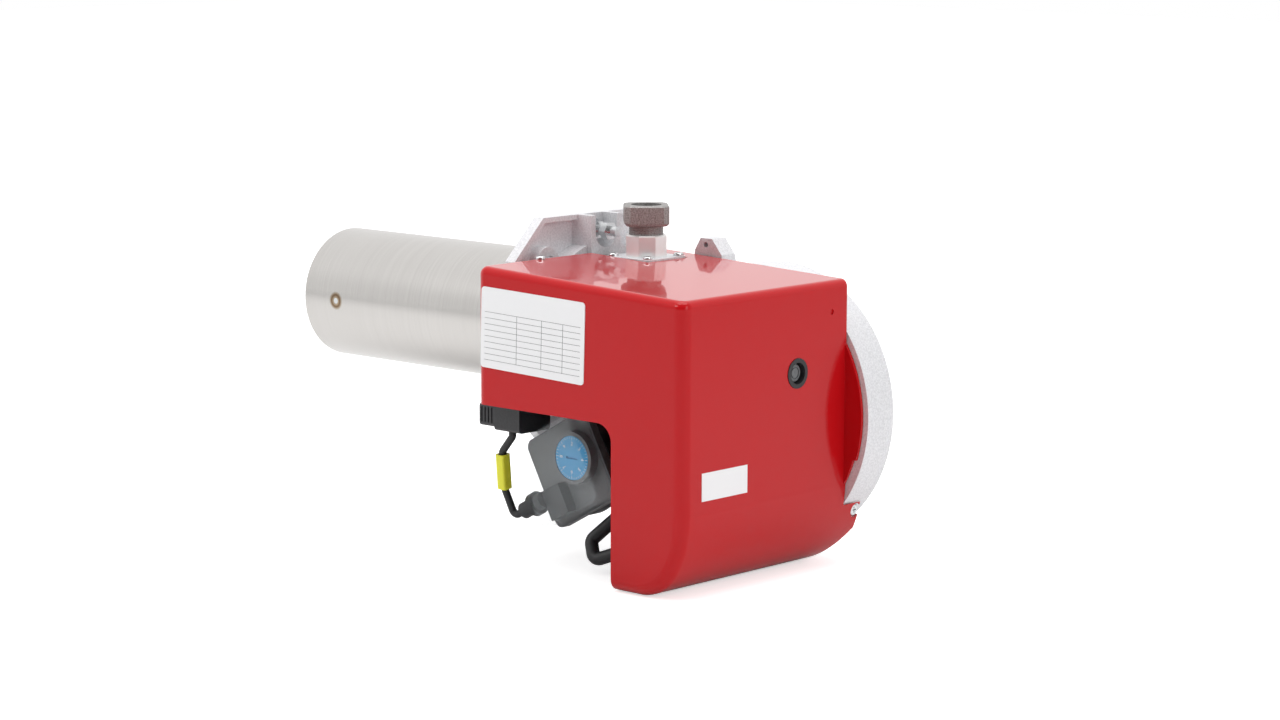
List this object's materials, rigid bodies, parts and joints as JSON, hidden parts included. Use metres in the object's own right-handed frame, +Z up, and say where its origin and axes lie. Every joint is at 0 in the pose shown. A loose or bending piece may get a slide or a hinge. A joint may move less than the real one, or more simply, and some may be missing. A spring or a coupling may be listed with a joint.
{
  "type": "gas burner",
  "caption": "Forced-draught gas burner with a sliding boiler flange, stainless blast tube, glossy red hood, cast fan scroll, damper, fan motor and air pressure switch.",
  "frame": {"origin": "on the blast tube's axis, in the face of the mounting flange that meets the boiler", "axes": "+X from the flame end to the back of the burner, -Y to the hood and switch side, +Z up"},
  "size_m": [0.527, 0.2485, 0.2705],
  "materials": {
    "stainless": "brushed",
    "cast_aluminium": "sand cast",
    "machined_aluminium": "machined",
    "zinc_steel": "zinc plated",
    "dark_coupling": "blasted",
    "hood_red": "gloss",
    "label_white": "satin",
    "black_paint": "satin",
    "black_plastic": "fine grain",
    "grey_plastic": "fine grain",
    "clear_cover": "clear",
    "blue_dial": "satin",
    "ceramic": "glazed",
    "cable_black": "matte",
    "marker_yellow": "satin",
    "wheel_steel": "galvanised",
    "winding": "laminated"
  },
  "bodies": {
    "mounting": {"mounting_flange": "cast_aluminium", "clamp_stud": "zinc_steel", "clamp_washer": "zinc_steel", "clamp_nuts": "zinc_steel"},
    "burner": {"blast_tube": "stainless", "head_rivets": "zinc_steel", "head_ring": "stainless", "swirl_disc": "stainless", "gas_elbow": "cast_aluminium", "gas_lance": "stainless", "gas_nozzle": "stainless", "electrode_ceramics": "ceramic", "electrode_wires": "stainless", "electrode_clip": "zinc_steel", "burner_body": "cast_aluminium", "scroll_cover": "cast_aluminium", "hood": "hood_red", "hood_screws": "zinc_steel", "hood_tail_screw": "zinc_steel", "rating_plate": "label_white", "rear_sticker": "label_white", "hood_bracket": "zinc_steel", "gas_plate": "cast_aluminium", "gas_plate_screws": "zinc_steel", "gas_adapter": "machined_aluminium", "gas_coupling": "dark_coupling", "motor_housing": "black_paint", "motor_cap": "black_paint", "motor_stator": "winding", "motor_bearings": "zinc_steel", "capacitor": "grey_plastic", "air_intake": "cast_aluminium", "intake_screws": "zinc_steel", "control_box": "black_plastic", "control_base": "black_plastic", "reset_grommet": "cable_black", "ignition_transformer": "black_plastic", "transformer_tray": "zinc_steel", "cable_grommets": "cable_black", "ignition_leads": "cable_black", "switch_cover": "clear_cover", "switch_base": "grey_plastic", "switch_chamber": "black_plastic", "switch_terminals": "black_plastic", "switch_bracket": "zinc_steel", "bracket_screws": "zinc_steel", "cable_gland": "black_plastic", "socket_bracket": "zinc_steel", "socket": "black_plastic", "switch_cable": "cable_black", "motor_cable": "cable_black", "cable_marker": "marker_yellow"},
    "fan_rotor": {"motor_rotor": "zinc_steel", "fan_wheel": "wheel_steel", "fan_set_screw": "zinc_steel"},
    "air_damper": {"damper_flap": "zinc_steel", "damper_lever": "black_plastic"},
    "reset_button": {"reset_button": "grey_plastic"},
    "switch_dial": {"switch_dial": "blue_dial"},
    "plug": {"plug": "black_plastic"}
  },
  "joints": [
    {"name": "head_depth", "type": "slide", "parent": "mounting", "child": "burner", "axis": [1, 0, 0], "range_m": [0, 0.1]},
    {"name": "fan_spin", "type": "hinge", "parent": "burner", "child": "fan_rotor", "pos_m": [0.145, 0.06, -0.056], "axis": [0, 1, 0], "continuous": true},
    {"name": "damper_turn", "type": "hinge", "parent": "burner", "child": "air_damper", "pos_m": [0.145, 0.091, -0.056], "axis": [0, 0, 1], "range_deg": [0, 90]},
    {"name": "reset_press", "type": "slide", "parent": "burner", "child": "reset_button", "axis": [-1, 0, 0], "range_m": [0, 0.003]},
    {"name": "setpoint_turn", "type": "hinge", "parent": "burner", "child": "switch_dial", "pos_m": [0.088, -0.1, -0.086], "axis": [0, 1, 0], "range_deg": [-150, 150]},
    {"name": "plug_pull", "type": "slide", "parent": "burner", "child": "plug", "axis": [-1, 0, 0], "range_m": [0, 0.02]}
  ]
}
